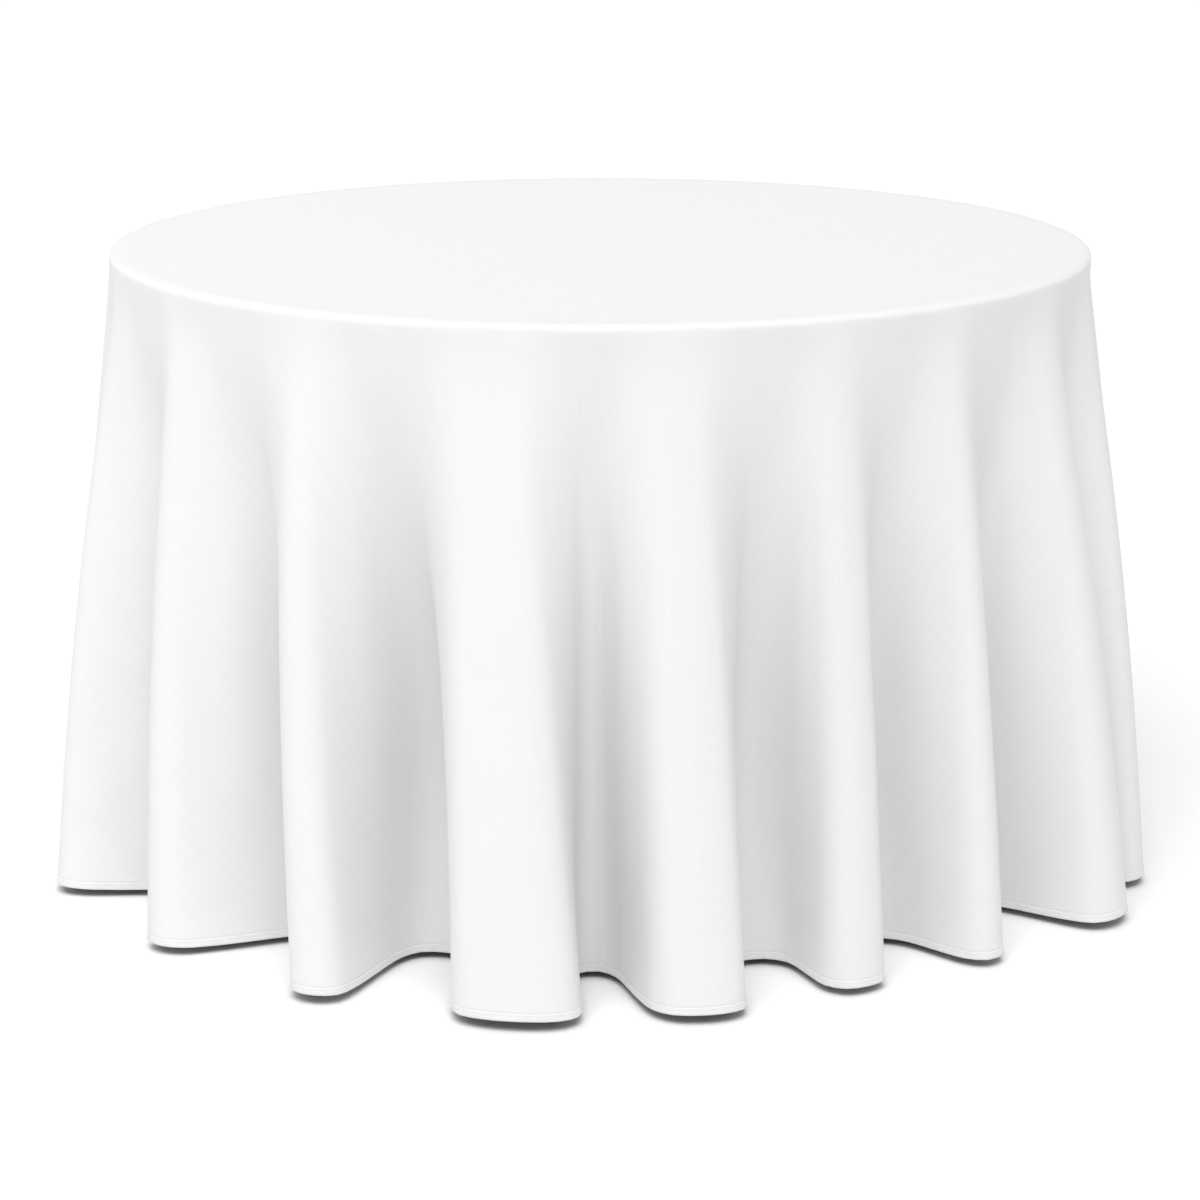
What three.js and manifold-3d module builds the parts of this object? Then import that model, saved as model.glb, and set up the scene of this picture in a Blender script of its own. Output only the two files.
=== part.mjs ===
// A floor-length round tablecloth on a folding banquet table.
// Millimetres, +Z up. The origin is on the floor under the middle of the table, the front faces -Y.

import * as THREE from 'three';
import { ParametricGeometry } from 'three/addons/geometries/ParametricGeometry.js';
import { mergeVertices } from 'three/addons/utils/BufferGeometryUtils.js';
import Module from 'manifold-3d';

const wasm = await Module();
wasm.setup();

// Driving dimensions: clearances
const GAP = 0.3; // between pieces that touch
const RUNNING = 0.4; // radial, between a pivot and its bore
const OVERCUT = 5; // how far a cutting tool runs past the face it cuts

// Driving dimensions: table
const TABLE_RADIUS = 609.6; // a 48 in round
const TABLE_HEIGHT = 762; // 30 in from the floor to the bare top
const PLY_THICK = 18;
const EDGE_WIDTH = 9; // moulding, from the wood to the rim
const EDGE_ROUND = 6; // its upper outer corner
const EDGE_UNDER_ROUND = 3; // its lower outer corner
const EDGE_LIP = 10; // the lip that runs in under the wood
const EDGE_LIP_THICK = 3;
const RAIL_Y = 250; // middle of each rail, from the middle of the table
const RAIL_THICK = 20;
const RAIL_HEIGHT = 90;
const RAIL_INSET = 90; // rail ends, in from the rim
const RAIL_CHAMFER = 35;

// Driving dimensions: folding legs. Set a is on the left and nests above set b when both are folded
const PIVOT_INSET = 230; // pivot tubes, in from the rim
const PIVOT_DROP = 22; // set a's pivot, below the wood
const NEST_DROP = 40; // set b's pivot, below set a's
const TUBE_RADIUS = 12.5;
const TUBE_WALL = 1.5;
const LEG_Y = { a: 200, b: 160 }; // each set's tubes, from the middle
const FOOT_OUT = 40; // feet, outward of their pivot
const FOOT_WALL = 2.2;
const FOOT_HEIGHT = 34;
const FOOT_SOLE = 8;
const STRETCHER_RADIUS = 9.5;
const STOP_WALL = 3.5; // rings that keep a brace in place on its stretcher
const STOP_LENGTH = 6;
const SADDLE_WIDTH = 70;
const SADDLE_HEIGHT = 36;
const SADDLE_PLATE = 3;
const CUP_WALL = 3; // the saddle's cup around the pivot tube
const CUP_LENGTH = 12;

// Driving dimensions: braces
const BRACE_SHORT = 50; // the stretcher stops this far short of the brace bracket when folded
const BRACE_Y = 14; // inner face of the lower link, from the middle
const LINK_THICK = 4;
const LINK_WIDTH = 20;
const LINK_SIDE_GAP = 0.6;
const EYE_WALL = 6; // lower link, around the stretcher
const PIN_RADIUS = 4;
const PIN_HEAD_RADIUS = 7;
const PIN_HEAD = 2.5;
const EAR_WIDTH = 24;
const BRACKET_LENGTH = 64;
const BRACKET_WIDTH = 26;
const BRACKET_PLATE = 3;

// Driving dimensions: screws
const SCREW_RADIUS = 2;
const SCREW_LENGTH = 13;
const SCREW_HEAD_RADIUS = 4.5;
const SCREW_HEAD = 2.2;
const SADDLE_SCREW = 26; // each side of the pivot
const BRACKET_SCREW = 23; // each side of the ear

// Driving dimensions: cloth
const CLOTH_THICK = 1.6; // with the air that its weave and its ripples hold
const CLOTH_GAP = 0.4; // between the cloth and the table that it lies on
const HEM_HEIGHT = 10;
const HEM_EXTRA = 0.6; // the hem stands proud of the cloth on each face
const FLOOR_CLEARANCE = 6;

// Folds at the hem, counter-clockwise seen from above: angles in degrees from the front (-Y) towards
// the right (+X). `at` is the middle of a crest and `nose` half its width, `out` is how far it stands
// outside the rim; then the valley that follows it, `dip`, half its width `floor`, and `under`, how
// far it goes in under the rim.
const FOLDS = [
  { at: -67.3, nose: 1.3, out: 110, dip: -55.0, floor: 3.1, under: 40 },
  { at: -46.7, nose: 1.7, out: 102, dip: -33.4, floor: 2.5, under: 50 },
  { at: -26.7, nose: 2.1, out: 118, dip: -19.0, floor: 3.5, under: 54 },
  { at: -7.4, nose: 5.1, out: 124, dip: -0.8, floor: 1.6, under: 30 },
  { at: 9.3, nose: 3.5, out: 109, dip: 17.8, floor: 3.2, under: 35 },
  { at: 25.5, nose: 2.5, out: 79, dip: 33.1, floor: 2.9, under: 33 },
  { at: 40.5, nose: 1.5, out: 92, dip: 50.0, floor: 2.9, under: 27 },
  { at: 57.5, nose: 2.7, out: 123, dip: 63.4, floor: 2.1, under: 22 },
  { at: 69.6, nose: 1.9, out: 102, dip: 78.6, floor: 2.7, under: 33 },
  { at: 85.6, nose: 3.0, out: 76, dip: 95.3, floor: 2.7, under: 37 },
  { at: 103.5, nose: 2.4, out: 100, dip: 112.0, floor: 2.4, under: 28 },
  { at: 121.0, nose: 2.8, out: 106, dip: 130.0, floor: 2.2, under: 30 },
  { at: 138.0, nose: 2.4, out: 100, dip: 147.0, floor: 2.6, under: 26 },
  { at: 156.0, nose: 2.8, out: 112, dip: 164.5, floor: 2.2, under: 24 },
  { at: 172.5, nose: 2.4, out: 112, dip: 181.0, floor: 2.2, under: 28 },
  { at: 189.5, nose: 3.0, out: 124, dip: 198.5, floor: 2.4, under: 24 },
  { at: 207.0, nose: 2.4, out: 104, dip: 215.5, floor: 2.2, under: 28 },
  { at: 224.0, nose: 2.6, out: 110, dip: 233.0, floor: 2.6, under: 24 },
  { at: 241.5, nose: 2.6, out: 104, dip: 250.0, floor: 2.2, under: 26 },
  { at: 258.0, nose: 2.4, out: 98, dip: 266.0, floor: 2.2, under: 26 },
  { at: 273.0, nose: 2.8, out: 64, dip: 282.0, floor: 2.6, under: 32 },
];
const STEPS_PER_FOLD = 8;
const CREST_BOW = 0.09; // how far crests and valleys bulge halfway down, as shares of their reach
const VALLEY_BOW = 0.25;

// Fineness of round pieces
const RIM_SIDES = 96;
const TUBE_SIDES = 20;
const SMALL_SIDES = 10;

// Sizes that follow
const UNDERSIDE = TABLE_HEIGHT - PLY_THICK;
const PIVOT_X = TABLE_RADIUS - PIVOT_INSET;
const PIVOT_Z = { a: UNDERSIDE - PIVOT_DROP, b: UNDERSIDE - PIVOT_DROP - NEST_DROP };
const SIDE = { a: -1, b: 1 }; // set a is at -X and set b at +X
const BRACE_SIDE = { a: 1, b: -1 }; // set a's brace is behind the middle and set b's in front of it
const BRACE_FALL = PIVOT_X - BRACE_SHORT; // from pivot to stretcher, along the leg
const RAIL_FACE = RAIL_Y - RAIL_THICK / 2;
const UPPER_LINK_Y = BRACE_Y + LINK_THICK + LINK_SIDE_GAP;
const EAR_Y = UPPER_LINK_Y + LINK_THICK + LINK_SIDE_GAP;

// Finishes
const finish = (color, roughness, metalness = 0) =>
  new THREE.MeshStandardMaterial({ color, roughness, metalness });
const CLOTH = finish(0xf6f6f7, 0.9);
const PLYWOOD = finish(0xc9a36a, 0.6);
const RAIL_WOOD = finish(0xb98d55, 0.65);
const MOULDING = finish(0x2b2b2d, 0.5);
const STEEL = finish(0x3b3d40, 0.45, 0.6);
const ZINC = finish(0xb9bcc0, 0.35, 0.9);
const FOOT_RUBBER = finish(0x1c1c1e, 0.85);

const root = new THREE.Group();

function addPiece(name, geometry, material, parent = root) {
  const piece = new THREE.Mesh(geometry, material);
  piece.name = name;
  parent.add(piece);
  return piece;
}

// Solids: joining and cutting

function bare(geometry) {
  const plain = geometry.clone();
  plain.deleteAttribute('normal');
  plain.deleteAttribute('uv');
  return mergeVertices(plain);
}

function toSolid(geometry) {
  const merged = bare(geometry);
  const mesh = new wasm.Mesh({
    numProp: 3,
    vertProperties: new Float32Array(merged.attributes.position.array),
    triVerts: new Uint32Array(merged.index.array),
  });
  return new wasm.Manifold(mesh);
}

function toGeometry(solid) {
  const mesh = solid.getMesh();
  const geometry = new THREE.BufferGeometry();
  geometry.setAttribute('position', new THREE.BufferAttribute(mesh.vertProperties, 3));
  geometry.setIndex(new THREE.BufferAttribute(mesh.triVerts, 1));
  geometry.computeVertexNormals();
  return geometry;
}

const cut = (geometry, ...tools) =>
  toGeometry(tools.reduce((solid, tool) => solid.subtract(toSolid(tool)), toSolid(geometry)));

const join = (first, ...others) =>
  toGeometry(others.reduce((solid, other) => solid.add(toSolid(other)), toSolid(first)));

// Basic shapes, placed

function box(width, depth, height, x, y, z) {
  return new THREE.BoxGeometry(width, depth, height).translate(x, y, z);
}

// a round bar along Y from y0 to y1
function barY(radius, y0, y1, x, z, sides = TUBE_SIDES) {
  const bar = new THREE.CylinderGeometry(radius, radius, Math.abs(y1 - y0), sides);
  return bar.translate(x, (y0 + y1) / 2, z);
}

// a round bar along Z from z0 to z1
function barZ(radius, z0, z1, x, y, sides = TUBE_SIDES) {
  const bar = new THREE.CylinderGeometry(radius, radius, z1 - z0, sides);
  return bar.rotateX(Math.PI / 2).translate(x, y, (z0 + z1) / 2);
}

// an outline in the X-Z plane, given thickness along Y from y0 to y1
function plateY(shape, y0, y1) {
  const plate = new THREE.ExtrudeGeometry(shape, {
    depth: Math.abs(y1 - y0),
    bevelEnabled: false,
    curveSegments: SMALL_SIDES,
  });
  return plate.rotateX(Math.PI / 2).translate(0, Math.max(y0, y1), 0);
}

// a ring around Z whose section is a closed outline of [radius, height] points
function ringZ(outline, sides) {
  const points = [...outline, outline[0]].map(([r, z]) => new THREE.Vector2(r, z));
  return new THREE.LatheGeometry(points, sides).rotateX(Math.PI / 2);
}

const arcPoints = (x, y, radius, fromDegrees, toDegrees, steps) =>
  Array.from({ length: steps + 1 }, (_, k) => {
    const angle = THREE.MathUtils.degToRad(fromDegrees + ((toDegrees - fromDegrees) * k) / steps);
    return [x + radius * Math.cos(angle), y + radius * Math.sin(angle)];
  });

// Screws: the shank points along +Z from under the head at z = 0
function screwGeometry() {
  const profile = [
    [0, -SCREW_HEAD],
    [SCREW_HEAD_RADIUS * 0.7, -SCREW_HEAD],
    [SCREW_HEAD_RADIUS, -SCREW_HEAD * 0.4],
    [SCREW_HEAD_RADIUS, 0],
    [SCREW_RADIUS, 0],
    [SCREW_RADIUS, SCREW_LENGTH - SCREW_RADIUS],
    [0, SCREW_LENGTH],
  ].map(([r, z]) => new THREE.Vector2(r, z));
  return new THREE.LatheGeometry(profile, SMALL_SIDES).rotateX(Math.PI / 2);
}

const SCREW_HOLE = SCREW_RADIUS + GAP;
const SCREW_HOLE_DEPTH = SCREW_LENGTH + GAP;

// Table top and its edge

const MOULDING_BOTTOM = UNDERSIDE - GAP - EDGE_LIP_THICK;

function buildTop() {
  const disc = barZ(TABLE_RADIUS - EDGE_WIDTH - GAP, UNDERSIDE, TABLE_HEIGHT, 0, 0, RIM_SIDES);
  const pilots = bracketScrewPlaces().map(([x, y]) =>
    barZ(SCREW_HOLE, UNDERSIDE - OVERCUT, UNDERSIDE + SCREW_HOLE_DEPTH, x, y, SMALL_SIDES),
  );
  addPiece('table_top', cut(disc, ...pilots), PLYWOOD);
}

function buildEdge() {
  const inner = TABLE_RADIUS - EDGE_WIDTH;
  const roundR = TABLE_RADIUS - EDGE_ROUND;
  const underR = TABLE_RADIUS - EDGE_UNDER_ROUND;
  const outline = [
    [inner, TABLE_HEIGHT],
    [inner, MOULDING_BOTTOM + EDGE_LIP_THICK],
    [inner - EDGE_LIP, MOULDING_BOTTOM + EDGE_LIP_THICK],
    [inner - EDGE_LIP, MOULDING_BOTTOM],
    ...arcPoints(underR, MOULDING_BOTTOM + EDGE_UNDER_ROUND, EDGE_UNDER_ROUND, -90, 0, 1),
    ...arcPoints(roundR, TABLE_HEIGHT - EDGE_ROUND, EDGE_ROUND, 0, 90, 3),
  ];
  addPiece('edge_moulding', ringZ(outline, RIM_SIDES), MOULDING);
}

// Rails, with pilot holes for the saddles' screws

function railShape() {
  const half = Math.sqrt((TABLE_RADIUS - RAIL_INSET) ** 2 - (RAIL_Y + RAIL_THICK / 2) ** 2);
  const shape = new THREE.Shape();
  shape.moveTo(-half, 0);
  shape.lineTo(-half, RAIL_CHAMFER - RAIL_HEIGHT);
  shape.lineTo(RAIL_CHAMFER - half, -RAIL_HEIGHT);
  shape.lineTo(half - RAIL_CHAMFER, -RAIL_HEIGHT);
  shape.lineTo(half, RAIL_CHAMFER - RAIL_HEIGHT);
  shape.lineTo(half, 0);
  return shape;
}

function buildRails() {
  for (const [name, y] of [['front', -1], ['back', 1]]) {
    const rail = plateY(railShape(), y * RAIL_FACE, y * (RAIL_FACE + RAIL_THICK));
    rail.translate(0, 0, UNDERSIDE - GAP);
    const pilots = saddlePlaces().flatMap(({ x, z }) =>
      [-SADDLE_SCREW, SADDLE_SCREW].map((dx) => {
        const mouth = y * (RAIL_FACE - OVERCUT);
        const bottom = y * (RAIL_FACE + SCREW_HOLE_DEPTH);
        return barY(SCREW_HOLE, mouth, bottom, x + dx, z, SMALL_SIDES);
      }),
    );
    addPiece(`rail_${name}`, cut(rail, ...pilots), RAIL_WOOD);
  }
}

// Saddle brackets: a plate on the rail with a cup around the pivot tube's end

function saddlePlaces() {
  return ['a', 'b'].map((set) => ({ set, x: SIDE[set] * PIVOT_X, z: PIVOT_Z[set] }));
}

function buildSaddles() {
  const plateOut = RAIL_FACE - GAP;
  const plateIn = plateOut - SADDLE_PLATE;
  for (const { set, x, z } of saddlePlaces()) {
    for (const [end, y] of [['front', -1], ['back', 1]]) {
      const middle = (y * (plateIn + plateOut)) / 2;
      const plate = box(SADDLE_WIDTH, SADDLE_PLATE, SADDLE_HEIGHT, x, middle, z);
      const cupRadius = TUBE_RADIUS + RUNNING + CUP_WALL;
      const cup = barY(cupRadius, y * (plateIn - CUP_LENGTH), y * plateOut, x, z);
      const bore = barY(TUBE_RADIUS + RUNNING, y * (plateIn - CUP_LENGTH - OVERCUT), y * (plateOut + OVERCUT), x, z);
      const holes = [-SADDLE_SCREW, SADDLE_SCREW].map((dx) =>
        barY(SCREW_HOLE, y * (plateIn - OVERCUT), y * (plateOut + OVERCUT), x + dx, z, SMALL_SIDES),
      );
      addPiece(`saddle_${set}_${end}`, cut(join(plate, cup), bore, ...holes), ZINC);
      [-SADDLE_SCREW, SADDLE_SCREW].forEach((dx, k) => {
        const screw = addPiece(`saddle_screw_${set}_${end}_${k + 1}`, screwGeometry(), STEEL);
        screw.rotation.x = (-y * Math.PI) / 2;
        screw.position.set(x + dx, y * (plateIn - GAP), z);
      });
    }
  }
}

// Leg sets

function legPose(set) {
  const splay = Math.atan2(FOOT_OUT, PIVOT_Z[set]);
  const length = Math.hypot(FOOT_OUT, PIVOT_Z[set]);
  const place = new THREE.Matrix4().makeRotationY(-SIDE[set] * splay);
  place.setPosition(SIDE[set] * PIVOT_X, 0, PIVOT_Z[set]);
  return { splay, length, place };
}

function hollowTube(radius, z0, z1) {
  const inner = radius - TUBE_WALL;
  return ringZ([[inner, z0], [radius, z0], [radius, z1], [inner, z1]], TUBE_SIDES);
}

function buildLegSet(set) {
  const { splay, length, place } = legPose(set);
  const legs = new THREE.Group();
  legs.position.set(SIDE[set] * PIVOT_X, 0, PIVOT_Z[set]);
  legs.rotation.y = -SIDE[set] * splay;
  root.add(legs);

  const pivotHalf = RAIL_FACE - 3 * GAP;
  const pivot = hollowTube(TUBE_RADIUS, -pivotHalf, pivotHalf).rotateX(Math.PI / 2);
  addPiece(`pivot_tube_${set}`, pivot, STEEL, legs);

  const saddleCut = barY(TUBE_RADIUS + GAP, -pivotHalf, pivotHalf, 0, 0);
  const tubeEnd = FOOT_SOLE - length;
  const y = LEG_Y[set];
  const legCuts = [-y, y].map((at) => barZ(TUBE_RADIUS + GAP, tubeEnd, 0, 0, at));
  for (const [end, at] of [['front', -y], ['back', y]]) {
    const tube = hollowTube(TUBE_RADIUS, tubeEnd, 0).translate(0, at, 0);
    addPiece(`leg_tube_${set}_${end}`, cut(tube, saddleCut), STEEL, legs);
    addPiece(`foot_${set}_${end}`, footGeometry(length, at, place), FOOT_RUBBER);
  }
  const stretcher = barY(STRETCHER_RADIUS, -y, y, 0, -BRACE_FALL);
  addPiece(`stretcher_${set}`, cut(stretcher, ...legCuts), STEEL, legs);

  // stop rings on each side of the brace
  const faces = { inner: BRACE_Y - LINK_SIDE_GAP - STOP_LENGTH, outer: BRACE_Y + LINK_THICK + LINK_SIDE_GAP };
  for (const [name, near] of Object.entries(faces)) {
    const inner = STRETCHER_RADIUS + GAP;
    const outer = inner + STOP_WALL;
    const section = [[inner, 0], [outer, 0], [outer, STOP_LENGTH], [inner, STOP_LENGTH]];
    const ring = ringZ(section, TUBE_SIDES).rotateX(-Math.PI / 2);
    const start = BRACE_SIDE[set] > 0 ? near : -near - STOP_LENGTH;
    ring.translate(0, start, -BRACE_FALL);
    addPiece(`brace_stop_${set}_${name}`, ring, ZINC, legs);
  }
}

// A rubber foot: a cap on the tube's slanting end, with its sole level on the floor
function footGeometry(length, y, place) {
  const soleEnd = -length - OVERCUT;
  const radius = TUBE_RADIUS + GAP + FOOT_WALL;
  const cap = barZ(radius, soleEnd, FOOT_HEIGHT - length, 0, y).applyMatrix4(place);
  const boreEnd = FOOT_SOLE - GAP - length;
  const bore = barZ(TUBE_RADIUS + GAP, boreEnd, FOOT_HEIGHT - length + OVERCUT, 0, y).applyMatrix4(place);
  const under = 4 * (radius + OVERCUT);
  const middle = new THREE.Vector3(0, y, -length).applyMatrix4(place);
  const floor = box(under, under, under, middle.x, middle.y, -under / 2);
  return cut(cap, bore, floor);
}

// Braces: when the leg stands, both links lie in one line from the stretcher to the bracket; when it
// is folded, the elbow lies past the bracket

function braceLengths(set) {
  const knee = new THREE.Vector3(0, 0, -BRACE_FALL).applyMatrix4(legPose(set).place);
  const bracket = new THREE.Vector3(0, 0, PIVOT_Z[set]);
  const open = knee.distanceTo(bracket);
  const lower = (open + BRACE_SHORT) / 2;
  return { knee, bracket, lower, upper: open - lower };
}

// a flat link along +X from a round eye at the origin, bored at both ends
function linkShape(length, eyeRadius, eyeBore, farBore) {
  const half = LINK_WIDTH / 2;
  const shoulder = Math.asin(half / eyeRadius);
  const shape = new THREE.Shape();
  shape.moveTo(eyeRadius * Math.cos(shoulder), -half);
  shape.lineTo(length, -half);
  shape.absarc(length, 0, half, -Math.PI / 2, Math.PI / 2, false);
  shape.lineTo(eyeRadius * Math.cos(shoulder), half);
  shape.absarc(0, 0, eyeRadius, shoulder, 2 * Math.PI - shoulder, false);
  for (const [x, bore] of [[0, eyeBore], [length, farBore]]) {
    const hole = new THREE.Path();
    hole.absarc(x, 0, bore, 0, 2 * Math.PI, true);
    shape.holes.push(hole);
  }
  return shape;
}

// turns a piece that runs along +X so that it points from one place to another in the X-Z plane
function aim(piece, from, to) {
  piece.position.set(from.x, 0, from.z);
  piece.rotation.y = Math.atan2(from.z - to.z, to.x - from.x);
}

function buildBrace(set) {
  const { knee, bracket, lower, upper } = braceLengths(set);
  const side = BRACE_SIDE[set];
  const pinBore = PIN_RADIUS + RUNNING;
  const eye = STRETCHER_RADIUS + RUNNING + EYE_WALL;
  const lowerShape = linkShape(lower, eye, STRETCHER_RADIUS + RUNNING, pinBore);
  const lowerLink = plateY(lowerShape, side * BRACE_Y, side * (BRACE_Y + LINK_THICK));
  aim(addPiece(`brace_${set}_lower`, lowerLink, ZINC), knee, bracket);

  const upperShape = linkShape(upper, LINK_WIDTH / 2 + 1, pinBore, pinBore);
  const upperEnd = UPPER_LINK_Y + LINK_THICK;
  const upperLink = plateY(upperShape, side * UPPER_LINK_Y, side * upperEnd);
  aim(addPiece(`brace_${set}_upper`, upperLink, ZINC), bracket, knee);

  // the elbow's rivet sits in the upper link and stops at the lower link's face
  const shank = barY(PIN_RADIUS, side * (UPPER_LINK_Y - GAP), side * (upperEnd + GAP + 1), upper, 0, SMALL_SIDES);
  const head = barY(PIN_HEAD_RADIUS, side * (upperEnd + GAP), side * (upperEnd + GAP + PIN_HEAD), upper, 0);
  aim(addPiece(`elbow_rivet_${set}`, join(shank, head), STEEL), bracket, knee);
}

// Brace brackets: a base screwed up into the wood, with one ear for the brace's pin

function bracketScrewPlaces() {
  return ['a', 'b'].flatMap((set) =>
    [-BRACKET_SCREW, BRACKET_SCREW].map((x) => [x, BRACE_SIDE[set] * (EAR_Y + BRACKET_WIDTH / 2)]),
  );
}

function buildBraceBracket(set) {
  const side = BRACE_SIDE[set];
  const top = UNDERSIDE - GAP;
  const baseMiddle = side * (EAR_Y + BRACKET_WIDTH / 2);
  const base = box(BRACKET_LENGTH, BRACKET_WIDTH, BRACKET_PLATE, 0, baseMiddle, top - BRACKET_PLATE / 2);
  const pinZ = PIVOT_Z[set];
  const earHeight = top - pinZ;
  const earMiddle = side * (EAR_Y + LINK_THICK / 2);
  const ear = box(EAR_WIDTH, LINK_THICK, earHeight, 0, earMiddle, top - earHeight / 2);
  const earEnd = barY(EAR_WIDTH / 2, side * EAR_Y, side * (EAR_Y + LINK_THICK), 0, pinZ, TUBE_SIDES);
  const bore = barY(PIN_RADIUS + GAP, side * (EAR_Y - OVERCUT), side * (EAR_Y + LINK_THICK + OVERCUT), 0, pinZ);
  const holes = [-BRACKET_SCREW, BRACKET_SCREW].map((x) =>
    barZ(SCREW_HOLE, top - BRACKET_PLATE - OVERCUT, top + OVERCUT, x, baseMiddle, SMALL_SIDES),
  );
  addPiece(`brace_bracket_${set}`, cut(join(base, ear, earEnd), bore, ...holes), ZINC);

  const outer = EAR_Y + LINK_THICK + GAP;
  const shank = barY(PIN_RADIUS, side * (UPPER_LINK_Y + GAP), side * (outer + 1), 0, pinZ, SMALL_SIDES);
  const head = barY(PIN_HEAD_RADIUS, side * outer, side * (outer + PIN_HEAD), 0, pinZ);
  addPiece(`bracket_pin_${set}`, join(shank, head), STEEL);

  [-BRACKET_SCREW, BRACKET_SCREW].forEach((x, k) => {
    const screw = addPiece(`bracket_screw_${set}_${k + 1}`, screwGeometry(), STEEL);
    screw.position.set(x, baseMiddle, top - BRACKET_PLATE - GAP);
  });
}

// Cloth. Its middle surface lies on the table, turns over the rim and then runs down to the folds of
// the hem

const FOLD_STEPS = FOLDS.length * STEPS_PER_FOLD;
const RIM_TOP = TABLE_HEIGHT - EDGE_ROUND;
const FALL_START = MOULDING_BOTTOM; // below this the valleys can go in under the table
const HALF_CLOTH = CLOTH_THICK / 2;
const CLOTH_OFFSET = CLOTH_GAP + HALF_CLOTH; // from the table to the cloth's middle

function hemCurve() {
  const corners = FOLDS.flatMap(({ at, nose, out, dip, floor, under }) => [
    [at - nose, out],
    [at + nose, out],
    [dip - floor, -under],
    [dip + floor, -under],
  ]);
  const points = corners.map(([degrees, beyond]) => {
    const angle = THREE.MathUtils.degToRad(degrees);
    const r = TABLE_RADIUS + beyond;
    return new THREE.Vector3(r * Math.sin(angle), -r * Math.cos(angle), 0);
  });
  const curve = new THREE.CatmullRomCurve3(points, true, 'centripetal');
  curve.arcLengthDivisions = FOLD_STEPS * 8;
  return curve;
}

// each hem point's angle and distance from the axis, and the angle at which its thread crosses the rim
function foldPlaces() {
  const hem = hemCurve().getSpacedPoints(FOLD_STEPS).slice(0, FOLD_STEPS);
  let turned = 0;
  let last = Math.atan2(hem[0].x, -hem[0].y);
  const angles = hem.map((p) => {
    const angle = Math.atan2(p.x, -p.y);
    turned += Math.atan2(Math.sin(angle - last), Math.cos(angle - last));
    last = angle;
    return turned;
  });
  const start = Math.atan2(hem[0].x, -hem[0].y);
  const step = (2 * Math.PI) / FOLD_STEPS;
  const lag = angles.reduce((sum, angle, k) => sum + angle - k * step, 0) / FOLD_STEPS;
  return hem.map((p, k) => ({
    hemAngle: start + angles[k],
    hemRadius: Math.hypot(p.x, p.y),
    rimAngle: start + lag + k * step,
  }));
}

const PLACES = foldPlaces();

// a point of the skirt's middle surface at height z on thread k: the crests bow out a little, and the
// valleys start below the edge
function skirtPoint(k, z) {
  const { hemAngle, hemRadius, rimAngle } = PLACES[(k + FOLD_STEPS) % FOLD_STEPS];
  const rim = TABLE_RADIUS + CLOTH_OFFSET;
  const share = Math.min(1, (RIM_TOP - z) / (RIM_TOP - FLOOR_CLEARANCE));
  const below = THREE.MathUtils.clamp((FALL_START - z) / (FALL_START - FLOOR_CLEARANCE), 0, 1);
  const spread = share + CREST_BOW * Math.sin(Math.PI * share);
  const sink = (1 - (1 + 3 * below) * (1 - below) ** 3) * (1 + VALLEY_BOW * Math.sin(Math.PI * below));
  const r = rim + Math.max(0, hemRadius - rim) * spread - Math.max(0, rim - hemRadius) * sink;
  const angle = rimAngle + (hemAngle - rimAngle) * below;
  return new THREE.Vector3(r * Math.sin(angle), -r * Math.cos(angle), z);
}

// the same point, moved out of the surface by a distance
function skirtFace(k, z, distance) {
  const along = skirtPoint(k + 1, z).sub(skirtPoint(k - 1 + FOLD_STEPS, z));
  const down = skirtPoint(k, z - 1).sub(skirtPoint(k, z));
  const out = down.cross(along).normalize();
  return skirtPoint(k, z).addScaledVector(out, distance);
}

// a closed surface over rings of points: rings[j](k) is thread k's point in ring j
function wovenGeometry(rings) {
  const stacks = rings.length - 1;
  const geometry = new ParametricGeometry(
    (u, v, target) => {
      const k = Math.round(u * FOLD_STEPS) % FOLD_STEPS;
      target.copy(rings[Math.round(v * stacks)](k));
    },
    FOLD_STEPS,
    stacks,
  );
  return geometry;
}

// splits the quads of the first stacks the other way, so that the cloth's two faces crease alike
function turnDiagonals(geometry, stacks) {
  const { index } = geometry;
  for (let at = 0; at < 6 * stacks * FOLD_STEPS; at += 6) {
    const [a, b, d, , c] = [0, 1, 2, 3, 4].map((n) => index.getX(at + n));
    [a, b, c, a, c, d].forEach((corner, n) => index.setX(at + n, corner));
  }
  return geometry;
}

function rimRing(r, z) {
  return (k) => {
    const { rimAngle } = PLACES[k];
    return new THREE.Vector3(r * Math.sin(rimAngle), -r * Math.cos(rimAngle), z);
  };
}

function clothRings(distance) {
  const over = CLOTH_OFFSET + distance;
  const turn = arcPoints(TABLE_RADIUS - EDGE_ROUND, RIM_TOP, EDGE_ROUND + over, 90, 0, 3);
  const skirtEnd = FLOOR_CLEARANCE + HEM_HEIGHT + GAP;
  const levels = [0, 0.25, 0.5, 0.75, 1].map((share) => FALL_START + (skirtEnd - FALL_START) * share);
  return [
    () => new THREE.Vector3(0, 0, TABLE_HEIGHT + over),
    ...turn.map(([r, z]) => rimRing(r, z)),
    ...levels.map((z) => (k) => skirtFace(k, z, distance)),
  ];
}

function buildCloth() {
  const inner = clothRings(-HALF_CLOTH);
  const outer = clothRings(HALF_CLOTH).reverse();
  const cloth = turnDiagonals(wovenGeometry([...inner, ...outer]), inner.length - 1);
  addPiece('tablecloth', bare(cloth), CLOTH);

  const proud = HALF_CLOTH + HEM_EXTRA;
  const hemTop = FLOOR_CLEARANCE + HEM_HEIGHT;
  const corners = [
    [hemTop, -proud],
    [FLOOR_CLEARANCE, -proud],
    [FLOOR_CLEARANCE, proud],
    [hemTop, proud],
    [hemTop, -proud],
  ];
  const rings = corners.map(([z, distance]) => (k) => skirtFace(k, z, distance).setZ(z));
  addPiece('tablecloth_hem', bare(wovenGeometry(rings)), CLOTH);
}

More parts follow.
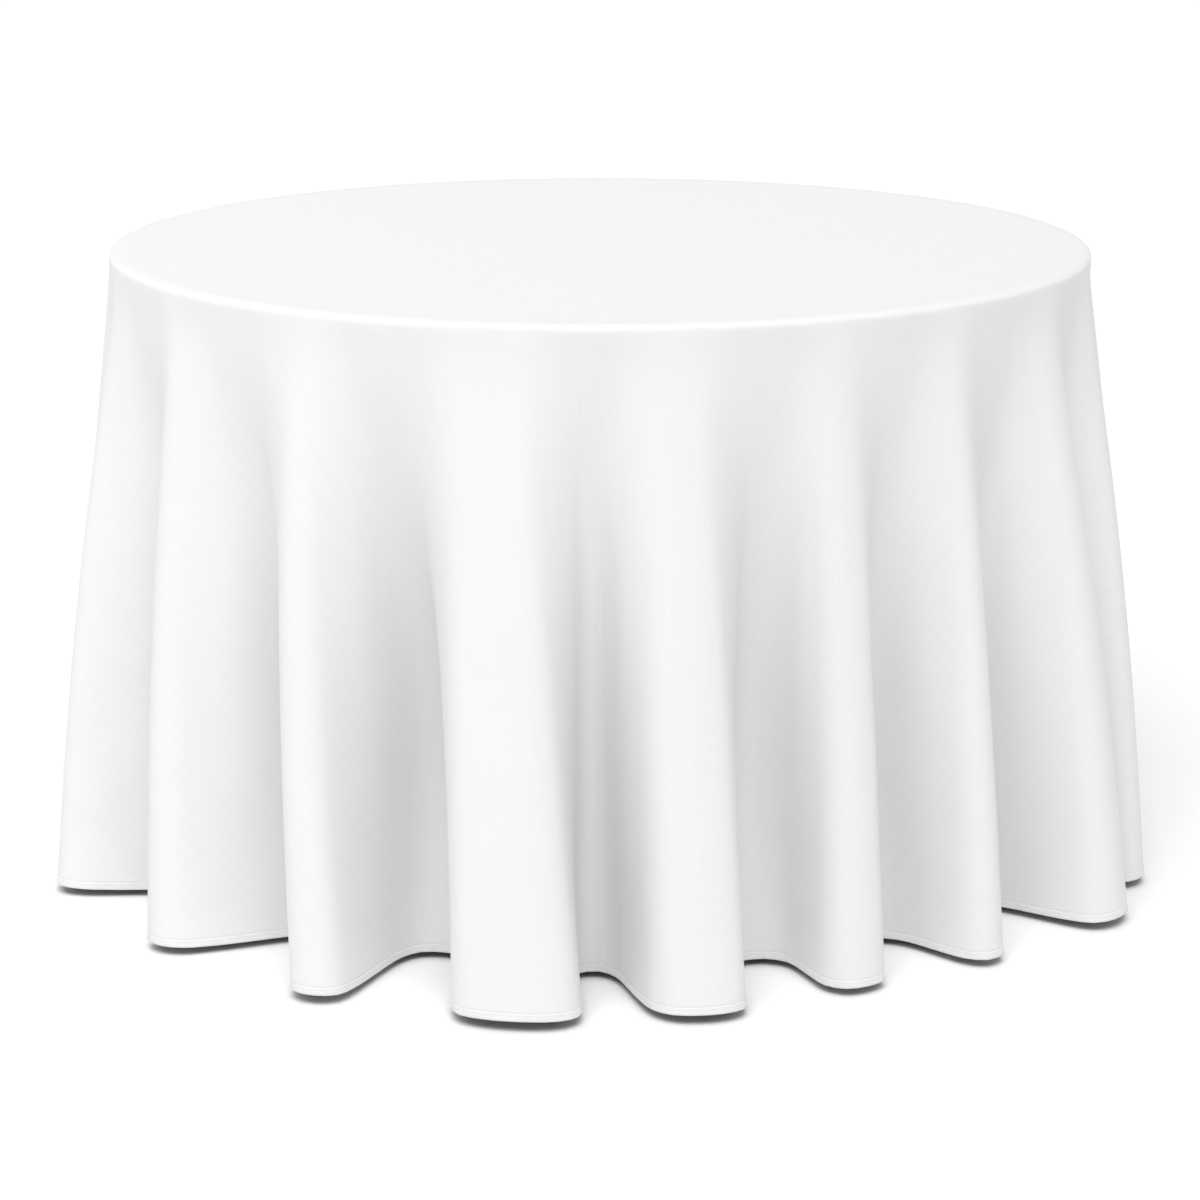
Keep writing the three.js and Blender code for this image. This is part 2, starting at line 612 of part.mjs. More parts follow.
buildTop();
buildEdge();
buildRails();
buildSaddles();
for (const set of ['a', 'b']) {
  buildLegSet(set);
  buildBrace(set);
  buildBraceBracket(set);
}
buildCloth();

export default root;
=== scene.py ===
"""A white round floor-length tablecloth hanging in deep folds over a folding banquet table.

Metres, +Z up, the origin on the floor under the middle of the table, the front towards -Y.
"""

import math

import bpy
import numpy as np
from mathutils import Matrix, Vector


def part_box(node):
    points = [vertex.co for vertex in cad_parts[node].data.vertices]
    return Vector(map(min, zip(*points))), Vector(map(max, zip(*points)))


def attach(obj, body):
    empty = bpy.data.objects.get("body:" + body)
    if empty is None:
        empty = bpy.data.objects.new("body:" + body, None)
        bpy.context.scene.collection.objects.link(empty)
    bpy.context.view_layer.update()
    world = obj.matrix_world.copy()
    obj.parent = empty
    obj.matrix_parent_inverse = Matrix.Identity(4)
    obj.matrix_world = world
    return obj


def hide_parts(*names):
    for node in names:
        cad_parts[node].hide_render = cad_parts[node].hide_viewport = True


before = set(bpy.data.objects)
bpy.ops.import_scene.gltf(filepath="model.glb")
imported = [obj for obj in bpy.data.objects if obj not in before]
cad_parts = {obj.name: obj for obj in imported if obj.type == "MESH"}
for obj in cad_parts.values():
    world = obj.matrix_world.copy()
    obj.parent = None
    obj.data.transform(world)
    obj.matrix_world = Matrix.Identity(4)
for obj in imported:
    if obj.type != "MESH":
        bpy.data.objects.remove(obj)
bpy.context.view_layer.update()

# ---------------------------------------------------------------------------------------------
# Sizes
# ---------------------------------------------------------------------------------------------

EDGE_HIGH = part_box("edge_moulding")[1]
HEM_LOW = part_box("tablecloth_hem")[0]

TABLE_RADIUS = EDGE_HIGH.x
TABLE_HEIGHT = EDGE_HIGH.z
EDGE_ROUND = 0.006  # the moulding's upper corner
CLOTH_RADIUS = 1.366  # the finished cloth lying flat: just under a 108 in round, to clear the floor
CLOTH_THICK = 0.0005
LIES_OFF = 0.0014  # middle of the cloth above what it lies on
HEM_HEIGHT = 0.009
SEAM_HEIGHT = 0.0068  # the stitches above the edge
STITCH_PITCH = 0.0034
STITCH_LENGTH = 0.0028
STITCH_RADIUS = 0.00028
STITCH_PROUD = 0.00075
STITCH_SIDES = 6
THREAD_RELIEF = 0.00006
PUCKER_DEPTH = 0.0012
WHITE = (0.776, 0.776, 0.780)
WHITE_SLUB = (0.752, 0.752, 0.757)
HEM_SLUB = (0.73, 0.73, 0.735)
HEM_LOWEST = HEM_LOW.z + 0.0023
HEM_RISE = 0.0045  # from the valleys to the furthest crest
CREST_BOW = 0.09  # how far crests and valleys bulge halfway down, as shares of their reach
VALLEY_BOW = 0.55
VALLEYS_START = 0.02  # below the rim

# Folds at the hem, counter-clockwise seen from above. Angles in degrees from the front towards the
# right, distances in millimetres from the rim: a crest's middle, half its width and how far it
# stands out, then the middle of the valley after it, half its width and how far it goes under.
FOLDS = (
    (-67.3, 1.3, 110, -55.0, 3.1, 40),
    (-46.7, 1.7, 102, -33.4, 2.5, 50),
    (-26.7, 2.1, 118, -19.0, 3.5, 54),
    (-7.4, 5.1, 124, -0.8, 1.6, 30),
    (9.3, 3.5, 109, 17.8, 3.2, 35),
    (25.5, 2.5, 79, 33.1, 2.9, 33),
    (40.5, 1.5, 92, 50.0, 2.9, 27),
    (57.5, 2.7, 123, 63.4, 2.1, 22),
    (69.6, 1.9, 102, 78.6, 2.7, 33),
    (85.6, 3.0, 76, 95.3, 2.7, 37),
    (103.5, 2.4, 100, 112.0, 2.4, 28),
    (121.0, 2.8, 106, 130.0, 2.2, 30),
    (138.0, 2.4, 100, 147.0, 2.6, 26),
    (156.0, 2.8, 112, 164.5, 2.2, 24),
    (172.5, 2.4, 112, 181.0, 2.2, 28),
    (189.5, 3.0, 124, 198.5, 2.4, 24),
    (207.0, 2.4, 104, 215.5, 2.2, 28),
    (224.0, 2.6, 110, 233.0, 2.6, 24),
    (241.5, 2.6, 104, 250.0, 2.2, 26),
    (258.0, 2.4, 98, 266.0, 2.2, 26),
    (273.0, 2.8, 64, 282.0, 2.6, 32),
)

THREADS = 300  # radial threads of the simulated cloth
RINGS_ON_TOP = (0.12, 0.30, 0.43, 0.51, 0.56, 0.587)  # distances from the middle
RIM_RINGS = 4
RING_STEP = 0.0252  # between its rings below the rim
HELD_INSET = 0.02  # the cloth is held still on the table up to here, in from the rim
SETTLE_FRAMES = 30
FORMER_DEPTH = 0.09
FORMER_TAPER = 0.008
PRESSINGS = 4
RIM_KEPT = 0.02  # not pressed, below the rim
OUTLINE_STEPS = 24  # between two corners of the hem's outline
MILLIMETRE = 0.001


# ---------------------------------------------------------------------------------------------
# Camera, floor and light
# ---------------------------------------------------------------------------------------------

CAMERA_PLACE = Vector((0.0, -4.23, 1.401))
CAMERA_DOWN = math.radians(14.6)
CAMERA_LENS = 101.6


def add_camera():
    data = bpy.data.cameras.new("camera")
    data.lens = CAMERA_LENS
    data.sensor_width = 36.0
    camera = bpy.data.objects.new("camera", data)
    camera.location = CAMERA_PLACE
    camera.rotation_euler = (math.pi / 2 - CAMERA_DOWN, 0.0, 0.0)
    bpy.context.collection.objects.link(camera)
    bpy.context.scene.camera = camera


def aim(light, place):
    light.location = place
    light.rotation_euler = (Vector((0.0, 0.0, 0.4)) - Vector(place)).to_track_quat("-Z", "Y").to_euler()
    bpy.context.collection.objects.link(light)


def add_softbox(name, place, size, power):
    data = bpy.data.lights.new(name, "AREA")
    data.size = size
    data.energy = power
    aim(bpy.data.objects.new(name, data), place)


def add_broad_light(name, place, spread, strength):
    """A far, very broad light that shines from a place towards the middle of the table."""
    data = bpy.data.lights.new(name, "SUN")
    data.angle = math.radians(spread)
    data.energy = strength
    aim(bpy.data.objects.new(name, data), place)


def add_studio():
    world = bpy.data.worlds.new("studio")
    world.use_nodes = True
    backdrop = world.node_tree.nodes["Background"]
    backdrop.inputs["Color"].default_value = (1.0, 1.0, 1.0, 1.0)
    backdrop.inputs["Strength"].default_value = 0.55
    bpy.context.scene.world = world
    bpy.context.scene.view_settings.view_transform = "Standard"

    bpy.ops.mesh.primitive_plane_add(size=60.0, location=(0.0, 0.0, 0.0))
    floor = bpy.context.object
    floor.name = "floor"
    paint = bpy.data.materials.new("floor paint")
    paint.use_nodes = True
    shader = paint.node_tree.nodes["Principled BSDF"]
    shader.inputs["Base Color"].default_value = (0.88, 0.88, 0.88, 1.0)
    shader.inputs["Roughness"].default_value = 0.9
    shader.inputs["Specular IOR Level"].default_value = 0.1
    floor.data.materials.append(paint)

    add_broad_light("key light", (-0.1, -2.0, 4.3), 45.0, 2.2)
    add_softbox("left softbox", (-2.6, -0.9, 2.4), 1.4, 12.5)


# ---------------------------------------------------------------------------------------------
# Materials
# ---------------------------------------------------------------------------------------------


class Finish:
    """A procedural material under construction."""

    def __init__(self, name):
        self.material = bpy.data.materials.new(name)
        self.material.use_nodes = True
        self.tree = self.material.node_tree
        self.shader = self.tree.nodes["Principled BSDF"]

    def node(self, kind, **settings):
        made = self.tree.nodes.new(kind)
        for name, value in settings.items():
            if name in made.inputs:
                made.inputs[name].default_value = value
            else:
                setattr(made, name, value)
        return made

    def link(self, output, target):
        self.tree.links.new(output, target)

    def set(self, **values):
        for name, value in values.items():
            self.shader.inputs[name.replace("_", " ")].default_value = value

    def coordinates(self, kind, scale):
        source = self.node("ShaderNodeTexCoord")
        mapping = self.node("ShaderNodeMapping")
        mapping.inputs["Scale"].default_value = scale
        self.link(source.outputs[kind], mapping.inputs["Vector"])
        return mapping.outputs["Vector"]

    def noise(self, vector, scale, detail=3.0, roughness=0.5):
        made = self.node("ShaderNodeTexNoise")
        made.inputs["Scale"].default_value = scale
        made.inputs["Detail"].default_value = detail
        made.inputs["Roughness"].default_value = roughness
        self.link(vector, made.inputs["Vector"])
        return made.outputs["Fac"]

    def ramp(self, factor, stops):
        made = self.node("ShaderNodeValToRGB")
        while len(made.color_ramp.elements) < len(stops):
            made.color_ramp.elements.new(0.5)
        for element, (place, colour) in zip(made.color_ramp.elements, stops, strict=True):
            element.position = place
            element.color = (*colour, 1.0)
        self.link(factor, made.inputs["Fac"])
        return made.outputs["Color"]

    def math(self, operation, first, second):
        made = self.node("ShaderNodeMath", operation=operation)
        for socket, value in zip(made.inputs, (first, second)):
            if isinstance(value, (int, float)):
                socket.default_value = value
            else:
                self.link(value, socket)
        return made.outputs["Value"]

    def blend(self, first, much, second, little):
        return self.math("ADD", self.math("MULTIPLY", first, much), self.math("MULTIPLY", second, little))

    def drive(self, socket, factor, stops):
        """Drives one of the shader's own sockets, a grey or a colour, from a pattern."""
        stops = [(place, value if isinstance(value, tuple) else (value,) * 3) for place, value in stops]
        self.link(self.ramp(factor, stops), self.shader.inputs[socket])

    def bump(self, height, distance, strength=1.0):
        made = self.node("ShaderNodeBump")
        made.inputs["Distance"].default_value = distance
        made.inputs["Strength"].default_value = strength
        self.link(height, made.inputs["Height"])
        self.link(made.outputs["Normal"], self.shader.inputs["Normal"])


def woven_cloth(name, light, shade, puckers=0.0):
    """Plain-woven white polyester: fine threads, with a faint thick one here and there, both ways,
    and the puckers that a seam draws in the cloth, of a depth in metres."""
    finish = Finish(name)
    across = 2.0 * CLOTH_RADIUS
    warp_slubs = finish.noise(finish.coordinates("UV", (across * 560.0, across * 8.0, 1.0)), 1.0, 1.0)
    weft_slubs = finish.noise(finish.coordinates("UV", (across * 8.0, across * 560.0, 1.0)), 1.0, 1.0)
    slubs = finish.blend(warp_slubs, 0.6, weft_slubs, 0.4)
    finish.drive("Base Color", slubs, ((0.28, shade), (0.60, light)))
    warp = finish.noise(finish.coordinates("UV", (across * 1700.0, across * 160.0, 1.0)), 1.0, 2.0, 0.6)
    weft = finish.noise(finish.coordinates("UV", (across * 160.0, across * 1700.0, 1.0)), 1.0, 2.0, 0.6)
    threads = finish.math("MULTIPLY", finish.math("ADD", warp, weft), THREAD_RELIEF)
    drawn = finish.noise(finish.coordinates("UV", (across, across, 1.0)), 75.0, 2.0, 0.4)
    finish.bump(finish.math("ADD", threads, finish.math("MULTIPLY", drawn, puckers)), 1.0)
    finish.set(Roughness=0.8, Sheen_Weight=0.08, Sheen_Roughness=0.4, Specular_IOR_Level=0.2)
    return finish.material


def sewing_thread():
    """Twisted polyester thread: bright and dark along each stitch."""
    finish = Finish("sewing thread")
    twist = finish.noise(finish.coordinates("Object", (1.0, 1.0, 1.0)), 1400.0, 2.0)
    finish.drive("Base Color", twist, ((0.3, (0.70, 0.70, 0.71)), (0.7, (0.82, 0.82, 0.83))))
    finish.bump(twist, 0.0002, 0.4)
    finish.set(Roughness=0.55, Specular_IOR_Level=0.4)
    return finish.material


def plywood_face():
    """Birch plywood with a matt lacquer: growth rings drawn out along X, pores and darker patches."""
    finish = Finish("lacquered birch plywood")
    flow = finish.coordinates("Object", (0.35, 3.2, 3.2))
    rings = finish.node("ShaderNodeTexWave", wave_type="RINGS", rings_direction="SPHERICAL")
    rings.inputs["Scale"].default_value = 5.0
    rings.inputs["Distortion"].default_value = 9.0
    rings.inputs["Detail"].default_value = 3.0
    rings.inputs["Detail Scale"].default_value = 1.4
    finish.link(flow, rings.inputs["Vector"])
    fibres = finish.noise(finish.coordinates("Object", (14.0, 900.0, 900.0)), 1.0, 4.0, 0.65)
    grain = finish.blend(rings.outputs["Fac"], 0.55, fibres, 0.45)
    browns = ((0.2, (0.50, 0.34, 0.19)), (0.5, (0.64, 0.47, 0.29)), (0.8, (0.72, 0.56, 0.37)))
    finish.drive("Base Color", grain, browns)
    finish.drive("Roughness", fibres, ((0.3, 0.38), (0.7, 0.55)))
    finish.bump(grain, 0.0003, 0.4)
    finish.set(Specular_IOR_Level=0.4)
    return finish.material


def pine_rail():
    """Planed softwood: straight grain along X, dark late wood and the odd knot."""
    finish = Finish("planed pine")
    place = finish.coordinates("Object", (1.0, 1.0, 1.0))
    wander = finish.noise(finish.coordinates("Object", (1.2, 9.0, 9.0)), 1.0, 2.0)
    bands = finish.node("ShaderNodeTexWave", wave_type="BANDS", bands_direction="Z")
    bands.inputs["Scale"].default_value = 26.0
    bands.inputs["Distortion"].default_value = 3.5
    bands.inputs["Detail"].default_value = 2.0
    bands.inputs["Detail Scale"].default_value = 0.6
    finish.link(place, bands.inputs["Vector"])
    fibres = finish.noise(finish.coordinates("Object", (9.0, 700.0, 700.0)), 1.0, 3.0, 0.6)
    grain = finish.blend(bands.outputs["Fac"], 0.4, fibres, 0.35)
    grain = finish.blend(grain, 1.0, wander, 0.25)
    browns = ((0.25, (0.74, 0.55, 0.32)), (0.6, (0.66, 0.44, 0.23)), (0.85, (0.48, 0.28, 0.13)))
    finish.drive("Base Color", grain, browns)
    finish.bump(fibres, 0.0003, 0.5)
    finish.set(Roughness=0.6, Specular_IOR_Level=0.35)
    return finish.material


def vinyl_edge():
    """Brown vinyl moulding: a fine leather-like grain, a little shinier where it is rubbed."""
    finish = Finish("brown vinyl edging")
    place = finish.coordinates("Object", (1.0, 1.0, 1.0))
    rubbed = finish.noise(place, 22.0, 4.0)
    pebbles = finish.node("ShaderNodeTexVoronoi")
    pebbles.inputs["Scale"].default_value = 900.0
    finish.link(place, pebbles.inputs["Vector"])
    finish.drive("Base Color", rubbed, ((0.3, (0.055, 0.034, 0.022)), (0.7, (0.10, 0.064, 0.042))))
    finish.drive("Roughness", rubbed, ((0.3, 0.52), (0.7, 0.36)))
    finish.bump(pebbles.outputs["Distance"], 0.0002, 0.35)
    finish.set(Specular_IOR_Level=0.45)
    return finish.material


def metal(name, dark, light, metallic, roughness, texture, relief):
    """Painted or plated steel: blotches of tone and polish over a fine surface texture."""
    finish = Finish(name)
    place = finish.coordinates("Object", (1.0, 1.0, 1.0))
    blotches = finish.noise(place, 35.0, 5.0, 0.6)
    grit = finish.noise(place, texture, 2.0, 0.5)
    finish.drive("Base Color", blotches, ((0.3, dark), (0.7, light)))
    polished, dull = roughness
    finish.drive("Roughness", blotches, ((0.3, dull), (0.7, polished)))
    finish.bump(grit, relief, 0.5)
    finish.set(Metallic=metallic)
    return finish.material


def black_rubber():
    """Moulded rubber with a dusty bloom."""
    finish = Finish("black rubber")
    place = finish.coordinates("Object", (1.0, 1.0, 1.0))
    bloom = finish.noise(place, 120.0, 5.0, 0.65)
    finish.drive("Base Color", bloom, ((0.35, 0.018), (0.75, 0.055)))
    finish.drive("Roughness", bloom, ((0.3, 0.68), (0.7, 0.88)))
    finish.bump(bloom, 0.0002, 0.4)
    finish.set(Specular_IOR_Level=0.3)
    return finish.material


# ---------------------------------------------------------------------------------------------
# Cloth
# ---------------------------------------------------------------------------------------------


def smooth_ring(corners, steps):
    """A smooth closed curve through the corners, as centripetal Catmull-Rom arcs."""
    count = len(corners)
    arcs = []
    for i in range(count):
        p0, p1, p2, p3 = (corners[(i + k) % count] for k in (-1, 0, 1, 2))
        t0 = 0.0
        t1 = t0 + math.sqrt(np.linalg.norm(p1 - p0))
        t2 = t1 + math.sqrt(np.linalg.norm(p2 - p1))
        t3 = t2 + math.sqrt(np.linalg.norm(p3 - p2))
        t = np.linspace(t1, t2, steps, endpoint=False)[:, None]
        a1 = ((t1 - t) * p0 + (t - t0) * p1) / (t1 - t0)
        a2 = ((t2 - t) * p1 + (t - t1) * p2) / (t2 - t1)
        a3 = ((t3 - t) * p2 + (t - t2) * p3) / (t3 - t2)
        b1 = ((t2 - t) * a1 + (t - t0) * a2) / (t2 - t0)
        b2 = ((t3 - t) * a2 + (t - t1) * a3) / (t3 - t1)
        arcs.append(((t2 - t) * b1 + (t - t1) * b2) / (t2 - t1))
    return np.concatenate(arcs)


def hem_outline(threads):
    """Each thread's end at the hem, evenly spaced along the folds: angles and distances."""
    corners = []
    for crest, nose, out, dip, floor, under in FOLDS:
        places = ((crest - nose, out), (crest + nose, out), (dip - floor, -under), (dip + floor, -under))
        for degrees, beyond in places:
            angle = math.radians(degrees)
            radius = TABLE_RADIUS + beyond * MILLIMETRE
            corners.append(np.array((radius * math.sin(angle), -radius * math.cos(angle))))
    ring = smooth_ring(corners, OUTLINE_STEPS)
    closed = np.vstack([ring, ring[:1]])
    along = np.concatenate([[0.0], np.cumsum(np.linalg.norm(np.diff(closed, axis=0), axis=1))])
    spots = np.arange(threads) / threads * along[-1]
    x, y = (np.interp(spots, along, closed[:, axis]) for axis in (0, 1))
    return np.unwrap(np.arctan2(x, -y)), np.hypot(x, y)


def around(radius, angle, height):
    """Points at distances and angles from the table's axis, angles counted from the front."""
    return np.stack([radius * np.sin(angle), -radius * np.cos(angle), height + 0.0 * angle], -1)


def hung_rings():
    """The cloth as it is first hung: each ring's distance from the cloth's middle, its points on the
    table, and the same points on the flat cloth."""
    hem_angle, hem_radius = hem_outline(THREADS)
    turn = np.arange(THREADS) * 2.0 * math.pi / THREADS
    rim_angle = hem_angle.mean() - turn.mean() + turn
    flat_end = TABLE_RADIUS - EDGE_ROUND
    rim_end = flat_end + EDGE_ROUND * math.pi / 2
    length = CLOTH_RADIUS - rim_end
    turned = np.linspace(flat_end, rim_end, RIM_RINGS)
    fall = np.linspace(rim_end, CLOTH_RADIUS, round(length / RING_STEP) + 1)[1:]
    distances = np.concatenate([RINGS_ON_TOP, turned, fall])
    rim_height = TABLE_HEIGHT - EDGE_ROUND
    edge = TABLE_RADIUS + LIES_OFF
    beyond = np.maximum(hem_radius - edge, 0.0)
    under = np.maximum(edge - hem_radius, 0.0)
    hem_height = HEM_LOWEST + HEM_RISE * (beyond / beyond.max()) ** 2
    hung = []
    for distance in distances:
        if distance <= flat_end:
            hung.append(around(distance, rim_angle, TABLE_HEIGHT + LIES_OFF))
        elif distance <= rim_end:
            lean = (distance - flat_end) / EDGE_ROUND
            radius = flat_end + (EDGE_ROUND + LIES_OFF) * math.sin(lean)
            height = rim_height + (EDGE_ROUND + LIES_OFF) * math.cos(lean)
            hung.append(around(radius, rim_angle, height))
        else:
            share = (distance - rim_end) / length
            below_edge = max(0.0, (distance - rim_end - VALLEYS_START) / (length - VALLEYS_START))
            spread = share + CREST_BOW * math.sin(math.pi * share)
            sink = 1.0 - (1.0 + 3.0 * below_edge) * (1.0 - below_edge) ** 3
            sink *= 1.0 + VALLEY_BOW * math.sin(math.pi * below_edge)
            radius = edge + beyond * spread - under * sink
            angle = rim_angle + (hem_angle - rim_angle) * below_edge
            height = rim_height + (hem_height - rim_height) * share
            hung.append(around(radius, angle, height))
    flat = [around(distance, rim_angle, TABLE_HEIGHT + LIES_OFF) for distance in distances]
    return distances, np.array(hung), np.array(flat)


def lay_flat(mesh, flat):
    """The UV map of a mesh whose points have these places on the flat cut."""
    uv = 0.5 + flat[:, :2] / (2.0 * CLOTH_RADIUS)
    layer = mesh.uv_layers.new(name="flat cut")
    corner = np.zeros(len(mesh.loops), np.int32)
    mesh.loops.foreach_get("vertex_index", corner)
    layer.data.foreach_set("uv", uv[corner].ravel())


def sheet_mesh(name, rings, flat, centre):
    """A mesh over rings of points around a middle point, with its flat cut as UV map."""
    count, threads = rings.shape[:2]
    points = np.vstack([[centre], rings.reshape(-1, 3)])
    faces = [(0, 1 + k, 1 + (k + 1) % threads) for k in range(threads)]
    for j in range(count - 1):
        upper = 1 + j * threads
        lower = upper + threads
        for k in range(threads):
            after = (k + 1) % threads
            faces.append((upper + k, lower + k, lower + after, upper + after))
    mesh = bpy.data.meshes.new(name)
    mesh.from_pydata(points.tolist(), [], faces)
    mesh.update()
    lay_flat(mesh, np.vstack([[centre], flat.reshape(-1, 3)]))
    piece = bpy.data.objects.new(name, mesh)
    bpy.context.collection.objects.link(piece)
    return piece


def add_obstacle(piece, offset, friction):
    """Makes a piece something that the cloth can't pass, at a small distance."""
    piece.modifiers.new("Collision", "COLLISION")
    piece.collision.thickness_outer = offset
    piece.collision.cloth_friction = friction


def settle(rings, flat, distances):
    """Lets the hung cloth settle under its own weight on the table, with its flat cut as rest shape."""
    centre = (0.0, 0.0, TABLE_HEIGHT + LIES_OFF)
    cloth = sheet_mesh("settling cloth", rings, flat, centre)
    cloth.shape_key_add(name="hung")
    cut = cloth.shape_key_add(name="flat")
    cut.data.foreach_set("co", np.vstack([[centre], flat.reshape(-1, 3)]).ravel())
    cut.value = 0.0
    held = cloth.vertex_groups.new(name="lies on the table")
    threads = rings.shape[1]
    lying = [0]
    for j, distance in enumerate(distances):
        if distance < TABLE_RADIUS - HELD_INSET or distance > CLOTH_RADIUS - MILLIMETRE:
            lying += range(1 + j * threads, 1 + (j + 1) * threads)
    held.add(lying, 1.0, "REPLACE")

    # the former below the edge keeps the first hand's breadth of the fall from tucking in under it
    bpy.ops.mesh.primitive_cone_add(
        vertices=128,
        radius1=TABLE_RADIUS - FORMER_TAPER,
        radius2=TABLE_RADIUS,
        depth=FORMER_DEPTH,
        location=(0.0, 0.0, TABLE_HEIGHT - FORMER_DEPTH / 2),
    )
    table = bpy.context.object
    bevel = table.modifiers.new("Bevel", "BEVEL")
    bevel.width = EDGE_ROUND
    bevel.segments = 4
    bpy.ops.object.modifier_apply(modifier="Bevel")
    add_obstacle(table, offset=0.0008, friction=20.0)
    bpy.ops.mesh.primitive_plane_add(size=4.0)
    ground = bpy.context.object
    add_obstacle(ground, offset=0.002, friction=5.0)

    modifier = cloth.modifiers.new("Cloth", "CLOTH")
    fabric = modifier.settings
    fabric.vertex_group_mass = held.name
    fabric.rest_shape_key = cut
    fabric.quality = 6
    fabric.mass = 0.1
    fabric.air_damping = 2.0
    fabric.tension_stiffness = 40.0
    fabric.compression_stiffness = 40.0
    fabric.shear_stiffness = 20.0
    fabric.bending_stiffness = 1.2
    fabric.tension_damping = 15.0
    fabric.compression_damping = 15.0
    fabric.shear_damping = 15.0
    fabric.bending_damping = 1.0
    modifier.collision_settings.collision_quality = 3
    modifier.collision_settings.distance_min = 0.0012
    modifier.collision_settings.use_self_collision = False
    modifier.point_cache.frame_start = 1
    modifier.point_cache.frame_end = SETTLE_FRAMES
    for number in range(1, SETTLE_FRAMES + 1):
        bpy.context.scene.frame_set(number)
    settled = cloth.evaluated_get(bpy.context.evaluated_depsgraph_get()).data
    points = np.zeros(len(settled.vertices) * 3)
    settled.vertices.foreach_get("co", points)
    bpy.context.scene.frame_set(1)
    for piece in (cloth, table, ground):
        bpy.data.objects.remove(piece)
    return points.reshape(-1, 3)[1:].reshape(rings.shape)


def press(hung, settled, distances):
    """The settled cloth without its small dimples, as if freshly pressed: how far each point of the
    fall has moved is evened out with its neighbours. The hem and the rim stay as they are."""
    moved = settled - hung
    first = np.searchsorted(distances, TABLE_RADIUS + RIM_KEPT)
    for _ in range(PRESSINGS):
        even = moved.copy()
        even[1:-1] = 0.5 * moved[1:-1] + 0.125 * (moved[:-2] + moved[2:])
        even[1:-1] += 0.125 * (np.roll(moved, 1, axis=1) + np.roll(moved, -1, axis=1))[1:-1]
        moved[first:-1] = even[first:-1]
    return hung + moved


def refine_around(rings):
    """Twice as many threads, on smooth curves through the ones there are."""
    before, after, further = (np.roll(rings, shift, axis=1) for shift in (1, -1, -2))
    between = (9.0 * (rings + after) - before - further) / 16.0
    return np.stack([rings, between], axis=2).reshape(rings.shape[0], -1, 3)


def refine_down(rings):
    """Twice as many rings, on smooth curves through the ones there are."""
    first = 2.0 * rings[:1] - rings[1:2]
    last = 2.0 * rings[-1:] - rings[-2:-1]
    padded = np.concatenate([first, rings, last])
    between = (9.0 * (padded[1:-2] + padded[2:-1]) - padded[:-3] - padded[3:]) / 16.0
    fine = np.empty((2 * len(rings) - 1, *rings.shape[1:]))
    fine[::2] = rings
    fine[1::2] = between
    return fine


def outward(rings):
    """The cloth's outward direction at each point of its rings."""
    along = np.roll(rings, -1, axis=1) - np.roll(rings, 1, axis=1)
    down = np.gradient(rings, axis=0)
    out = np.cross(down, along)
    return out / np.linalg.norm(out, axis=2, keepdims=True)


def select(piece):
    bpy.ops.object.select_all(action="DESELECT")
    piece.select_set(True)
    bpy.context.view_layer.objects.active = piece


def smooth(piece):
    select(piece)
    bpy.ops.object.shade_smooth()


def add_thickness(piece, thickness):
    solidify = piece.modifiers.new("Solidify", "SOLIDIFY")
    solidify.thickness = thickness
    solidify.offset = 0.0
    select(piece)
    bpy.ops.object.modifier_apply(modifier="Solidify")


def make_cloth():
    distances, hung, flat = hung_rings()
    rings = press(hung, settle(hung, flat, distances), distances)
    rings = refine_around(rings)
    flat = refine_around(flat)
    above = np.searchsorted(distances, TABLE_RADIUS)  # the rings on top stay as they are
    rings = np.concatenate([rings[:above], refine_down(rings[above:])])
    flat = np.concatenate([flat[:above], refine_down(flat[above:])])
    centre = (0.0, 0.0, rings[0, :, 2].mean())
    cloth = sheet_mesh("draped_cloth", rings, flat, centre)
    cloth.data.materials.append(woven_cloth("white woven polyester", WHITE, WHITE_SLUB))
    smooth(cloth)
    add_thickness(cloth, CLOTH_THICK)
    return cloth, rings, flat[-1]


# ---------------------------------------------------------------------------------------------
# Hem
# ---------------------------------------------------------------------------------------------


def ring_of_sections(name, sections, flat_sections):
    """A closed band: sections[j] is the ring of points that the section's corner j runs along, and
    flat_sections[j] the same points on the flat cut."""
    count, threads = len(sections), len(sections[0])
    points = np.concatenate(sections)
    faces = []
    for j in range(count):
        below = (j + 1) % count
        for k in range(threads):
            after = (k + 1) % threads
            faces.append((j * threads + k, below * threads + k, below * threads + after, j * threads + after))
    mesh = bpy.data.meshes.new(name)
    mesh.from_pydata(points.tolist(), [], faces)
    mesh.update()
    lay_flat(mesh, np.concatenate(flat_sections))
    piece = bpy.data.objects.new(name, mesh)
    bpy.context.collection.objects.link(piece)
    return piece


def hem_lines(rings):
    """The cloth's lower edge, and its outward and downward directions there."""
    edge = rings[-1].copy()
    out = outward(rings)[-1]
    down = edge - rings[-2]
    down /= np.linalg.norm(down, axis=1, keepdims=True)
    return edge, out, down


